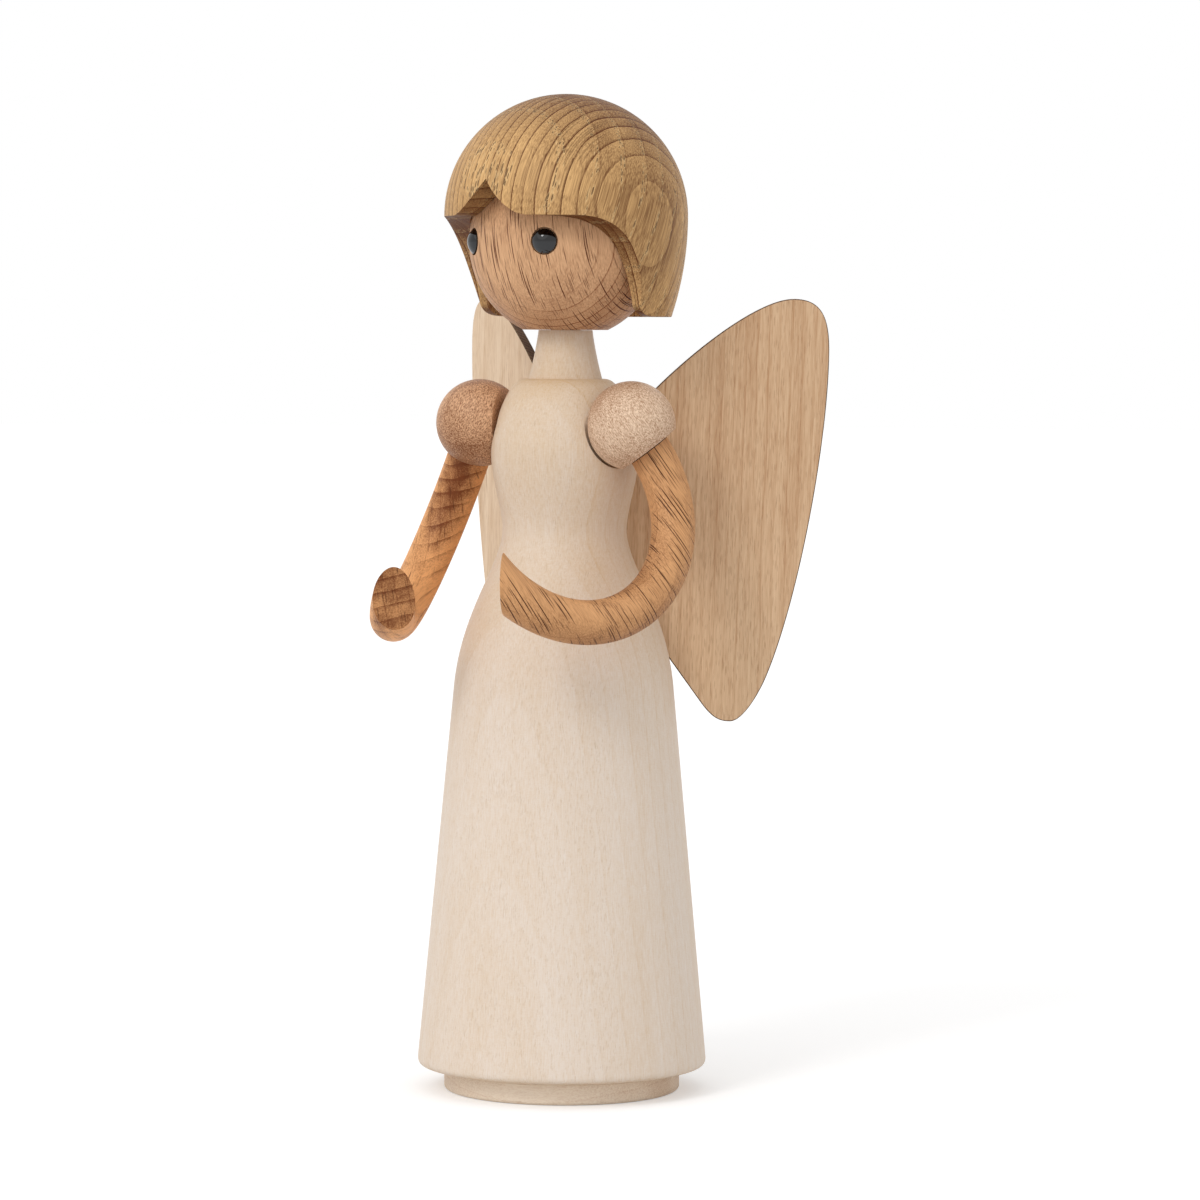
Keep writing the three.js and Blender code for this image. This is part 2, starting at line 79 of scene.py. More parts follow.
WING_THICKNESS, WING_RIM, WING_SWEEP, WING_SET = 1.9, 0.2, 32.7, 4.6
# Reaches run out from the middle and heights are above the waist
WING_ROOT, WING_ROOT_LOW, WING_ROOT_HIGH = 5.0, -7.1, 17.4
WING_LOW_EDGE, WING_LOW_AFTER = (25.2, -35.0), 4.2
WING_HIGH_EDGE, WING_HIGH_BEFORE = (15.9, 28.3), 12.2
# Reach, height, heading, and the curve's pull before and after
WING_KNOTS = (
    (31.3, -39.0, 0.0, 2.2, 2.4),
    (38.6, -29.8, 67.6, 4.5, 17.0),
    (50.8, 36.0, 90.0, 18.0, 7.2),
    (43.6, 46.4, 180.0, 5.3, 6.6),
)

# Camera fitted to the photograph
AZIMUTH = math.radians(31.46)
CAMERA_TILT, CAMERA_YAW, CAMERA_ROLL = math.radians(3.3036), math.radians(0.4212), math.radians(0.3263)
CAMERA_DISTANCE, CAMERA_LEVEL = 980.0, 155.302
FOCAL_PIXELS, PHOTO_PIXELS, SENSOR = 4881.92, 1200, 36.0
UP = Vector((0, 0, 1))
VIEW_RIGHT = Vector((math.cos(AZIMUTH), math.sin(AZIMUTH), 0))
VIEW_NEAR = Vector((math.sin(AZIMUTH), -math.cos(AZIMUTH), 0))


def seen(rightwards, upwards, nearer):
    """Direction in the row's frame, given as the photograph shows it."""
    return (VIEW_RIGHT * rightwards + UP * upwards + VIEW_NEAR * nearer).normalized()


# Outlines and meshes
def bezier(a, b, c, d, steps):
    """Points along a cubic curve, without its first."""
    points = []
    for i in range(1, steps + 1):
        t = i / steps
        s = 1 - t
        points.append(tuple(
            s ** 3 * p + 3 * s * s * t * q + 3 * s * t * t * u + t ** 3 * v
            for p, q, u, v in zip(a, b, c, d)
        ))
    return points


def quadratic(a, b, c, steps):
    """Points along a quadratic curve, without its first."""
    first = tuple(p + 2 / 3 * (q - p) for p, q in zip(a, b))
    second = tuple(p + 2 / 3 * (q - p) for p, q in zip(c, b))
    return bezier(a, first, second, c, steps)


def arc(centre, radius, start, end, steps):
    """Points along a circle from one angle to another, both ends kept."""
    points = []
    for i in range(steps + 1):
        angle = math.radians(start + (end - start) * i / steps)
        points.append((centre[0] + radius * math.cos(angle), centre[1] + radius * math.sin(angle)))
    return points


def turned(profile, sides):
    """Closed mesh of a profile of radius and height turned about Z, from axis to axis."""
    mesh = bmesh.new()
    rings = []
    for radius, height in profile:
        count = 1 if radius < 1e-6 else sides
        turns = [2 * math.pi * i / sides for i in range(count)]
        rings.append([mesh.verts.new((radius * math.cos(a), radius * math.sin(a), height)) for a in turns])
    for low, high in zip(rings, rings[1:]):
        for i in range(sides):
            j = (i + 1) % sides
            corners = (low[i % len(low)], low[j % len(low)], high[j % len(high)], high[i % len(high)])
            mesh.faces.new(list(dict.fromkeys(corners)))
    return mesh


def stacked(loops):
    """Closed mesh through XY outlines of equal counts, each at its own Z, lowest first."""
    mesh = bmesh.new()
    rings = [[mesh.verts.new((x, y, level)) for x, y in outline] for outline, level in loops]
    mesh.faces.new(rings[0][::-1])
    mesh.faces.new(rings[-1])
    for low, high in zip(rings, rings[1:]):
        for i in range(len(low)):
            j = (i + 1) % len(low)
            mesh.faces.new((low[i], low[j], high[j], high[i]))
    return mesh


def prism(outline, low, high):
    """Closed mesh of an XY outline raised from one Z to another."""
    return stacked(((outline, low), (outline, high)))


def slice_off(mesh, geometry, point, direction):
    """Cuts away what lies past a plane, among the geometry given, and closes the cut."""
    sliced = bmesh.ops.bisect_plane(mesh, geom=geometry, plane_co=point, plane_no=direction, clear_outer=True)
    rim = [edge for edge in sliced["geom_cut"] if isinstance(edge, bmesh.types.BMEdge)]
    bmesh.ops.contextual_create(mesh, geom=rim)


def solid(name, mesh, place=Matrix.Identity(4)):
    """Object in the row's frame from a mesh in millimetres."""
    mesh.transform(Matrix.Scale(MM, 4) @ place)
    bmesh.ops.recalc_face_normals(mesh, faces=mesh.faces)
    data = bpy.data.meshes.new(name)
    mesh.to_mesh(data)
    mesh.free()
    made = bpy.data.objects.new(name, data)
    scene.collection.objects.link(made)
    return made


def cut(made, cutters):
    """Takes the cutters out of an object and removes them."""
    for cutter in cutters:
        change = made.modifiers.new("cut", "BOOLEAN")
        change.operation = "DIFFERENCE"
        change.solver = "MANIFOLD"
        change.object = cutter
    evaluated = made.evaluated_get(bpy.context.evaluated_depsgraph_get())
    data = bpy.data.meshes.new_from_object(evaluated)
    data.materials.clear()
    mesh = bmesh.new()
    mesh.from_mesh(data)
    bmesh.ops.remove_doubles(mesh, verts=mesh.verts, dist=CLOSE * MM)
    bmesh.ops.dissolve_degenerate(mesh, edges=mesh.edges, dist=CLOSE * MM)
    mesh.to_mesh(data)
    mesh.free()
    made.modifiers.clear()
    made.data = data
    for cutter in cutters:
        bpy.data.objects.remove(cutter)


def finish_piece(made, body, node, finish):
    """Smooth shading with crisp edges, the material, and the piece's place in the assembly."""
    made.data.shade_smooth()
    made.data.set_sharp_from_angle(angle=math.radians(CREASE))
    if not made.data.materials:
        made.data.materials.append(finish)
    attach(made, body)
    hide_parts(node)


# Materials
class Shade:
    """A Principled material with short calls for the nodes that make its pattern."""

    def __init__(self, name):
        self.material = bpy.data.materials.new(name)
        self.material.use_nodes = True
        self.tree = self.material.node_tree
        self.surface = self.tree.nodes["Principled BSDF"]
        source = self.tree.nodes.new("ShaderNodeTexCoord")
        self.normal = source.outputs["Normal"]
        self.point = self.vector("SCALE", source.outputs["Object"], scale=1 / MM)

    def put(self, socket, value):
        if isinstance(value, bpy.types.NodeSocket):
            self.tree.links.new(value, socket)
        elif value is not None:
            socket.default_value = value

    def math(self, operation, a, b=None, c=None):
        node = self.tree.nodes.new("ShaderNodeMath")
        node.operation = operation
        for socket, value in zip(node.inputs, (a, b, c)):
            self.put(socket, value)
        return node.outputs[0]

    def vector(self, operation, a, b=None, scale=None):
        node = self.tree.nodes.new("ShaderNodeVectorMath")
        node.operation = operation
        self.put(node.inputs[0], a)
        self.put(node.inputs[1], b)
        if scale is not None:
            self.put(node.inputs["Scale"], scale)
        return node.outputs["Value"] if operation == "DOT_PRODUCT" else node.outputs["Vector"]

    def join(self, x, y, z):
        node = self.tree.nodes.new("ShaderNodeCombineXYZ")
        for socket, value in zip(node.inputs, (x, y, z)):
            self.put(socket, value)
        return node.outputs[0]

    def noise(self, where, detail=2.0, roughness=0.5):
        node = self.tree.nodes.new("ShaderNodeTexNoise")
        self.put(node.inputs["Vector"], where)
        node.inputs["Scale"].default_value = 1.0
        node.inputs["Detail"].default_value = detail
        node.inputs["Roughness"].default_value = roughness
        return node.outputs["Fac"]

    def random(self, number):
        node = self.tree.nodes.new("ShaderNodeTexWhiteNoise")
        node.noise_dimensions = "1D"
        self.put(node.inputs["W"], number)
        return node.outputs["Value"]

    def step(self, value, low, high):
        """0 below low, 1 above high, smooth between."""
        node = self.tree.nodes.new("ShaderNodeMapRange")
        node.interpolation_type = "SMOOTHSTEP"
        self.put(node.inputs["Value"], value)
        self.put(node.inputs["From Min"], low)
        self.put(node.inputs["From Max"], high)
        return node.outputs["Result"]

    def inside(self, value, low, high):
        """1 below low, 0 above high, smooth between."""
        return self.math("SUBTRACT", 1.0, self.step(value, low, high))

    def centred(self, value):
        return self.math("SUBTRACT", value, 0.5)

    def dashes(self, where, kept):
        """Distance from the middle of the nearest dash, 1 at its edge, with a share of the dashes kept."""
        cells = self.tree.nodes.new("ShaderNodeTexVoronoi")
        self.put(cells.inputs["Vector"], where)
        cells.inputs["Scale"].default_value = 1.0
        pick = self.tree.nodes.new("ShaderNodeSeparateColor")
        self.put(pick.inputs[0], cells.outputs["Color"])
        size = self.math("MULTIPLY_ADD", pick.outputs[1], DASH_SPREAD, DASH_LEAST)
        size = self.math("MULTIPLY", size, self.math("GREATER_THAN", pick.outputs[0], 1 - kept))
        return self.math("DIVIDE", cells.outputs["Distance"], self.math("MAXIMUM", size, 0.001))

    def mix(self, share, a, b):
        node = self.tree.nodes.new("ShaderNodeMix")
        node.data_type = "RGBA"
        self.put(node.inputs[0], share)
        self.put(node.inputs[6], a)
        self.put(node.inputs[7], b)
        return node.outputs[2]

    def bump(self, height, distance):
        node = self.tree.nodes.new("ShaderNodeBump")
        node.inputs["Distance"].default_value = distance * MM
        node.inputs["Strength"].default_value = 1.0
        self.put(node.inputs["Height"], height)
        self.put(self.surface.inputs["Normal"], node.outputs["Normal"])


def colour(red, green, blue):
    """Scene colour of a display colour, each part out of 255."""
    parts = []
    for part in (red, green, blue):
        share = part / 255
        parts.append(share / 12.92 if share <= 0.04045 else ((share + 0.055) / 1.055) ** 2.4)
    return (*parts, 1.0)


# What all the woods share
DASH_LEAST, DASH_SPREAD = 0.26, 0.16  # half width of a dash in its cell, and how much it varies
LINE_LEAST, LINE_SPREAD = 0.6, 0.8  # strength of a ring's dark line, and how much it varies
WAVER = (9, 9, 40)  # size of the wander outwards, across and along
RING_FADE, LINE_FADE, RAY_FADE = (0.5, 0.88), (0.6, 1.05), (0.72, 0.94)  # as a surface comes to lie along them
DASH_EDGE, PORE_EDGE, HALO_EDGE = (0.55, 1.0), (0.6, 1.0), (0.9, 1.5)
HALO_SHARE = 0.45
STREAK_HEIGHT, SPECK_HEIGHT, RAY_HEIGHT, PORE_HEIGHT = 0.4, -1.0, -0.8, -2.5  # shares of the relief
WOOD_SHINE = 0.15


def wood(name, pale, dark, mark, fibre, ring_out, tone=0.35, rings=(3.0, 0.4, 0.2, 0.05, 0.5), pith=80.0,
         lines=None, rise=None, streaks=(0.35, 9.0, 0.5), drift=(6.0, 45.0, 0.4), rays=(), pores=None,
         stipple=None, end_share=0.3, side_share=0.0, roughness=0.5, relief=0.05):
    """Solid wood in its own directions: rings outwards, rays across, fibre along.

    Lengths are millimetres, and shares are parts of the change from the pale colour to the dark.
    rings: width, dark line, its share, share of the slow change across a ring, wander.
    lines: the same for flat layers across the rings.
    rise: from, to and share of a change along the fibre.
    streaks, drift and stipple: width, length, share.
    rays: for each kind, thickness, height, depth, part kept, share.
    pores: width, length, the part of a ring that has them, share, rim colour."""
    shade = Shade(name)
    along = Vector(fibre).normalized()
    out = Vector(ring_out)
    out = (out - along * out.dot(along)).normalized()
    across = along.cross(out)
    axes = (out, across, along)
    n, t, f = (shade.vector("DOT_PRODUCT", shade.point, axis) for axis in axes)
    flat, aside, facing = (
        shade.math("ABSOLUTE", shade.vector("DOT_PRODUCT", shade.normal, axis)) for axis in axes
    )

    def stretched(outwards, sideways, lengthways):
        sizes = ((n, outwards), (t, sideways), (f, lengthways))
        return shade.join(*(shade.math("DIVIDE", part, size) for part, size in sizes))

    waver = shade.centred(shade.noise(stretched(*WAVER), 2))

    def layers(coordinate, level, shown, width, line, share, soft, wander):
        """Level darkened towards the end of each layer and most at its last line, with the place in the layer."""
        steps = shade.math("DIVIDE", shade.math("MULTIPLY_ADD", waver, 2 * wander, coordinate), width)
        phase = shade.math("FRACT", steps)
        left = shade.math("MULTIPLY", shade.math("SUBTRACT", 1.0, phase), width)
        end = shade.math("MULTIPLY", shade.inside(left, 0.0, line), shown)
        chance = shade.random(shade.math("FLOOR", steps))
        strength = shade.math("MULTIPLY_ADD", chance, LINE_SPREAD * share, LINE_LEAST * share)
        level = shade.math("MULTIPLY_ADD", end, strength, level)
        return shade.math("MULTIPLY_ADD", phase, soft, level), phase

    # Growth rings about a far pith line, faint where the surface lies along them
    reach = shade.math("ADD", n, pith)
    radius = shade.math("SQRT", shade.math("MULTIPLY_ADD", reach, reach, shade.math("MULTIPLY", t, t)))
    level, phase = layers(radius, tone, shade.inside(flat, *RING_FADE), *rings)
    if lines:
        level = layers(t, level, shade.inside(aside, *LINE_FADE), *lines)[0]
    if rise:
        level = shade.math("MULTIPLY_ADD", shade.step(f, rise[0], rise[1]), rise[2], level)

    # Fibre streaks, a slow drift of tone, and fine specks
    streak = shade.noise(stretched(streaks[0], streaks[0], streaks[1]), 3, 0.6)
    level = shade.math("MULTIPLY_ADD", shade.centred(streak), streaks[2], level)
    broad = shade.noise(stretched(drift[0], drift[0], drift[1]), 2)
    level = shade.math("MULTIPLY_ADD", shade.centred(broad), drift[2], level)
    height = shade.math("MULTIPLY", streak, STREAK_HEIGHT)
    if stipple:
        speck = shade.noise(stretched(stipple[0], stipple[0], stipple[1]), 1)
        level = shade.math("MULTIPLY_ADD", shade.centred(speck), stipple[2], level)
        height = shade.math("MULTIPLY_ADD", speck, SPECK_HEIGHT, height)

    # End grain drinks more oil, and a side cut straight across the rays may too
    level = shade.math("MULTIPLY_ADD", shade.math("POWER", facing, 2.0), end_share, level)
    level = shade.math("MULTIPLY_ADD", shade.math("POWER", aside, 6.0), side_share, level)
    body = shade.mix(shade.step(level, 0.0, 1.0), pale, dark)

    # Rays cut across show as dashes, and hardly where the surface runs along them
    cut_across = shade.inside(aside, *RAY_FADE)
    for thickness, length, depth, kept, share in rays:
        dash = shade.inside(shade.dashes(stretched(depth, thickness, length), kept), *DASH_EDGE)
        dash = shade.math("MULTIPLY", dash, cut_across)
        body = shade.mix(shade.math("MULTIPLY", dash, share), body, mark)
        height = shade.math("MULTIPLY_ADD", dash, RAY_HEIGHT, height)

    # Open pores with pale rims, in the first part of each ring
    if pores:
        thickness, length, band, share, rim = pores
        early = shade.inside(phase, band * 0.8, band)
        distance = shade.dashes(stretched(thickness, thickness, length), 1.0)
        halo = shade.math("MULTIPLY", shade.inside(distance, *HALO_EDGE), early)
        dash = shade.math("MULTIPLY", shade.inside(distance, *PORE_EDGE), early)
        body = shade.mix(shade.math("MULTIPLY", halo, HALO_SHARE), body, rim)
        body = shade.mix(shade.math("MULTIPLY", dash, share), body, mark)
        height = shade.math("MULTIPLY_ADD", dash, PORE_HEIGHT, height)
    shade.put(shade.surface.inputs["Base Color"], body)
    shade.surface.inputs["Roughness"].default_value = roughness
    shade.surface.inputs["Specular IOR Level"].default_value = WOOD_SHINE
    shade.bump(height, relief)
    return shade.material


maple = wood(
    "maple", colour(233, 221, 210), colour(211, 179, 138), colour(186, 152, 112),
    UP, seen(-0.5, 0, 0.85), tone=0.32, rings=(3.4, 0.6, 0.08, 0.05, 0.6), rise=(45, 140, 0.2),
    streaks=(0.24, 4, 0.6), drift=(9, 60, 0.3), rays=((0.2, 1.2, 1, 0.5, 0.24), (0.26, 2.4, 2, 0.3, 0.2)),
    stipple=(0.7, 0.25, 0.2), end_share=0.25, roughness=0.48, relief=0.02,
)
foot_wood = wood(
    "foot_maple", colour(250, 234, 214), colour(200, 162, 128), colour(165, 125, 90),
    seen(1, 0, 0.3), UP, tone=0.16, rings=(3, 0.5, 0.1, 0.05, 0.5), streaks=(0.3, 2.5, 0.6),
    rays=((0.2, 1.2, 1.2, 0.5, 0.2),), stipple=(0.25, 0.6, 0.5), relief=0.03,
)
beech = wood(
    "beech", colour(234, 186, 142), colour(128, 74, 40), colour(92, 44, 20),
    seen(-0.16, 1, 0), seen(-0.42, 0.15, 0.9), tone=0.33, rings=(1.9, 0.3, 0.42, 0.05, 0.4), pith=200,
    streaks=(0.26, 7, 0.8), drift=(8, 30, 0.3),
    rays=((0.36, 13, 14, 0.6, 1.0), (0.26, 5, 6, 0.6, 0.6)), end_share=0.25,
)
oak = wood(
    "oak", colour(234, 188, 128), colour(94, 50, 18), colour(92, 52, 22),
    seen(0.25, 0.92, -0.24), seen(-0.67, 0.35, 0.64), tone=0.31, rings=(4.95, 0.5, 0.1, 0.04, 0.35),
    pith=295.75, lines=(2.15, 0.42, 0.38, 0.12, 0.6), streaks=(0.22, 16, 1.0), drift=(5, 40, 0.35),
    rays=((0.3, 30, 20, 0.35, 0.4), (1.2, 1.6, 0.5, 0.25, 0.22)),
    pores=(0.46, 3.2, 0.22, 0.8, colour(240, 206, 152)), end_share=0.5, side_share=0.2, relief=0.08,
)
left_arm_wood = wood(
    "arm_left_beech", colour(228, 172, 120), colour(118, 68, 34), colour(76, 38, 18),
    seen(0.57, -0.82, 0.1), seen(0.1, 0.1, 1), tone=0.3, rings=(3.2, 0.4, 0.14, 0.05, 0.5), pith=120,
    streaks=(0.24, 9, 0.85), rays=((0.34, 20, 9, 0.85, 1.0), (0.26, 6, 5, 0.5, 0.6)),
)
right_arm_wood = wood(
    "arm_right_beech", colour(240, 176, 118), colour(116, 62, 30), colour(84, 44, 22),
    seen(-0.275, -0.247, 0.929), seen(-0.136, 0.967, 0.217), tone=0.09,
    rings=(2.8, 0.9, 0.16, 0.12, 0.8), pith=120, lines=(2.1, 0.3, 0.14, 0.0, 0.2),
    streaks=(0.24, 6, 0.9), drift=(2.5, 16, 0.7), rays=((0.35, 6, 5, 0.5, 0.6),), end_share=0.7,
)
pale_sleeve = wood(
    "sleeve_pale", colour(242, 214, 186), colour(156, 110, 76), colour(150, 108, 76),
    seen(0.57, -0.82, 0.1), seen(0.1, 0.1, 1), tone=0.38, rings=(4, 0.5, 0.08, 0.05, 0.5),
    streaks=(0.3, 3, 0.4), stipple=(0.2, 0.55, 1.4), roughness=0.42,
)
dark_sleeve = wood(
    "sleeve_dark", colour(230, 182, 142), colour(122, 74, 44), colour(110, 66, 38),
    seen(-0.4, -0.8, 0.4), seen(0.1, 0.1, 1), tone=0.4, rings=(4, 0.5, 0.1, 0.05, 0.5),
    streaks=(0.3, 3, 0.4), stipple=(0.22, 0.5, 1.5), roughness=0.42,
)
wing_grain = dict(
    streaks=(0.24, 5, 0.8), drift=(2.6, 70, 0.5), relief=0.03,
    rays=((0.26, 3, 2, 0.5, 0.3), (0.9, 9, 3, 0.08, 0.5)),
)
left_birch = wood(
    "wing_left_birch", colour(226, 194, 158), colour(170, 122, 82), colour(150, 104, 66),
    seen(0.03, 1, 0), seen(0, 0, 1), tone=0.2, rings=(6, 0.5, 0.1, 0.08, 0.5),
    lines=(2.3, 0.6, 0.1, 0.06, 0.7), rise=(70, 130, 0.16), **wing_grain,
)
right_birch = wood(
    "wing_right_birch", colour(236, 212, 184), colour(186, 144, 100), colour(170, 124, 84),
    seen(0.03, 1, 0), seen(-1, 0, 0.2), tone=0.3, rings=(2.6, 0.5, 0.16, 0.1, 0.6), **wing_grain,
)
burnt = wood(
    "wing_edge", colour(150, 118, 90), colour(70, 50, 38), colour(52, 36, 26),
    UP, seen(0, 0, 1), tone=0.45, rings=(0.7, 0.3, 0.3, 0.1, 0.1), streaks=(0.3, 4, 0.8), roughness=0.6,
)
dowel_wood = wood(
    "dowel_wood", colour(226, 196, 158), colour(170, 132, 96), colour(150, 110, 75),
    UP, seen(0, 0, 1), rays=((0.3, 2, 1.5, 0.4, 0.4),), roughness=0.6,
)

# Glazed beads, with a painted reflection of the floor that lightens them below their middle
REFLECTION_LOW, REFLECTION_HIGH = BALL_LEVEL - 0.5, BALL_LEVEL + 0.3
bead = Shade("eye_black")
# Painted reflection: the base colour turns lighter below the bead's middle
painted_floor_reflection = bead.inside(bead.vector("DOT_PRODUCT", bead.point, UP), REFLECTION_LOW, REFLECTION_HIGH)
bead.put(bead.surface.inputs["Base Color"], bead.mix(painted_floor_reflection, colour(2, 2, 3), colour(26, 28, 32)))
bead.surface.inputs["Roughness"].default_value = 0.06
bead.surface.inputs["Specular IOR Level"].default_value = 0.55


# Pieces
def foot_disc():
    middle = FOOT_RADIUS - FOOT_ROUND
    profile = [(0, 0)]
    profile += arc((middle, FOOT_ROUND), FOOT_ROUND, -90, 0, steps=6)
    profile += arc((middle, FOOT_HEIGHT - FOOT_ROUND), FOOT_ROUND, 0, 90, steps=6)
    profile.append((0, FOOT_HEIGHT))
    return solid("foot_disc_visual", turned(profile, sides=176))


def shoulder_place(side):
    """Shoulder frame: X along the pin, origin at the sleeve's centre."""
    turn = Matrix.Rotation(-side * math.radians(PIN_ANGLE), 4, "Z")
    return Matrix.Translation((0, 0, PIN_LEVEL)) @ turn @ Matrix.Translation((side * SLEEVE_REACH, 0, 0))


def along_x(side):
    """Turns Z to the pin's outward direction."""
    return Matrix.Rotation(side * math.pi / 2, 4, "Y")


def dress_profile():
    """Radius and height from the hem's middle to the bottom of the dowel's bore."""
    taper = (HEM_RADIUS - HIP_RADIUS) / (HIP_LEVEL - HEM_LEVEL)
    hip = WAIST_LEVEL - HIP_LEVEL
    chest = CHEST_LEVEL - WAIST_LEVEL
    shoulder = NECKLINE_LEVEL - CHEST_LEVEL
    collar = (CHEST_RADIUS - NECKLINE_RADIUS) * COLLAR_EASE
    hem_top = (HEM_RADIUS - taper * HEM_ROUND, HEM_LEVEL + HEM_ROUND)
    neck_middle = ((NECK_BASE + NECK_TOP) / 2 - NECK_HOLLOW, (NECKLINE_LEVEL + NECK_LEVEL) / 2)
    profile = [(0, HEM_LEVEL), (HEM_RADIUS - HEM_ROUND, HEM_LEVEL)]
    profile += quadratic(profile[-1], (HEM_RADIUS, HEM_LEVEL), hem_top, steps=8)
    skirt_steps = 24
    for i in range(1, skirt_steps + 1):
        share = i / skirt_steps
        radius = hem_top[0] + (HIP_RADIUS - hem_top[0]) * share
        profile.append((radius, hem_top[1] + (HIP_LEVEL - hem_top[1]) * share))
    profile += bezier(
        profile[-1], (HIP_RADIUS - taper * hip * HIP_EASE, HIP_LEVEL + hip * HIP_EASE),
        (WAIST_RADIUS, WAIST_LEVEL - hip * WAIST_EASE), (WAIST_RADIUS, WAIST_LEVEL), steps=40,
    )
    profile += bezier(
        profile[-1], (WAIST_RADIUS, WAIST_LEVEL + chest * BODICE_EASE),
        (CHEST_RADIUS, CHEST_LEVEL - chest * CHEST_EASE), (CHEST_RADIUS, CHEST_LEVEL), steps=28,
    )
    profile += bezier(
        profile[-1], (CHEST_RADIUS, CHEST_LEVEL + shoulder * SHOULDER_EASE),
        (NECKLINE_RADIUS + collar, NECKLINE_LEVEL), (NECKLINE_RADIUS, NECKLINE_LEVEL), steps=36,
    )
    profile.append((NECK_BASE, NECKLINE_LEVEL))
    profile += quadratic(profile[-1], neck_middle, (NECK_TOP, NECK_LEVEL), steps=14)
    bore_bottom = NECK_LEVEL - NECK_BORE_DEPTH
    return profile + [(DOWEL_BORE, NECK_LEVEL), (DOWEL_BORE, bore_bottom), (0, bore_bottom)]


def dress_body():
    made = solid("dress_body_visual", turned(dress_profile(), sides=192))
    seat_floor = SLEEVE_INNER + SEAT_DEPTH
    seat_start = -math.degrees(math.asin(seat_floor / SEAT_RADIUS))
    seat = [(0, -seat_floor)] + arc((0, 0), SEAT_RADIUS, seat_start, 0, steps=14) + [(0, 0)]
    bore = [(0, -PIN_BORE_END), (PIN_BORE, -PIN_BORE_END), (PIN_BORE, -PAST), (0, -PAST)]
    cutters = []
    for side in (1, -1):
        shoulder = shoulder_place(side) @ along_x(side)
        kerf = prism(wing_outline(side, FIT_GAP), -FIT_GAP, WING_THICKNESS + FIT_GAP)
        cutters.append(solid("seat", turned(seat, sides=96), shoulder))
        cutters.append(solid("bore", turned(bore, sides=32), shoulder))
        cutters.append(solid("kerf", kerf, wing_place(side)))
    cut(made, cutters)
    return made


def head_place():
    return Matrix.Rotation(math.radians(HEAD_TURN), 4, "Z")


def eye_place(side):
    """Eye frame: Z out of the ball, origin on the ball's surface."""
    out = Matrix.Rotation(side * math.radians(EYE_ANGLE), 4, "Z") @ Matrix.Rotation(math.pi / 2, 4, "X")
    centre = Matrix.Translation((0, 0, BALL_LEVEL))
    return head_place() @ centre @ out @ Matrix.Translation((0, 0, BALL_RADIUS))


def head_ball():
    start = -math.degrees(math.asin((BALL_LEVEL - BALL_FLAT) / BALL_RADIUS))
    bore_top = BALL_FLAT + HEAD_BORE_DEPTH
    profile = [(0, bore_top), (DOWEL_BORE, bore_top), (DOWEL_BORE, BALL_FLAT)]
    profile += arc((0, BALL_LEVEL), BALL_RADIUS, start, 90, steps=80)[:-1]
    profile.append((0, BALL_LEVEL + BALL_RADIUS))
    made = solid("head_ball_visual", turned(profile, sides=160), head_place())
    radius, floor_depth = EYE_RADIUS + FIT_GAP, EYE_SEAT + FIT_GAP
    socket = [(0, -floor_depth), (radius, -floor_depth), (radius, PAST), (0, PAST)]
    cut(made, [solid("socket", turned(socket, sides=72), eye_place(side)) for side in (1, -1)])
    return made


def eye(name, side):
    radius = (EYE_RADIUS ** 2 + EYE_PROUD ** 2) / (2 * EYE_PROUD)
    rim = math.degrees(math.acos(EYE_RADIUS / radius))
    profile = [(0, -EYE_SEAT), (EYE_RADIUS, -EYE_SEAT)]
    profile += arc((0, EYE_PROUD - radius), radius, rim, 90, steps=24)[:-1]
    profile.append((0, EYE_PROUD))
    return solid(name, turned(profile, sides=64), eye_place(side))


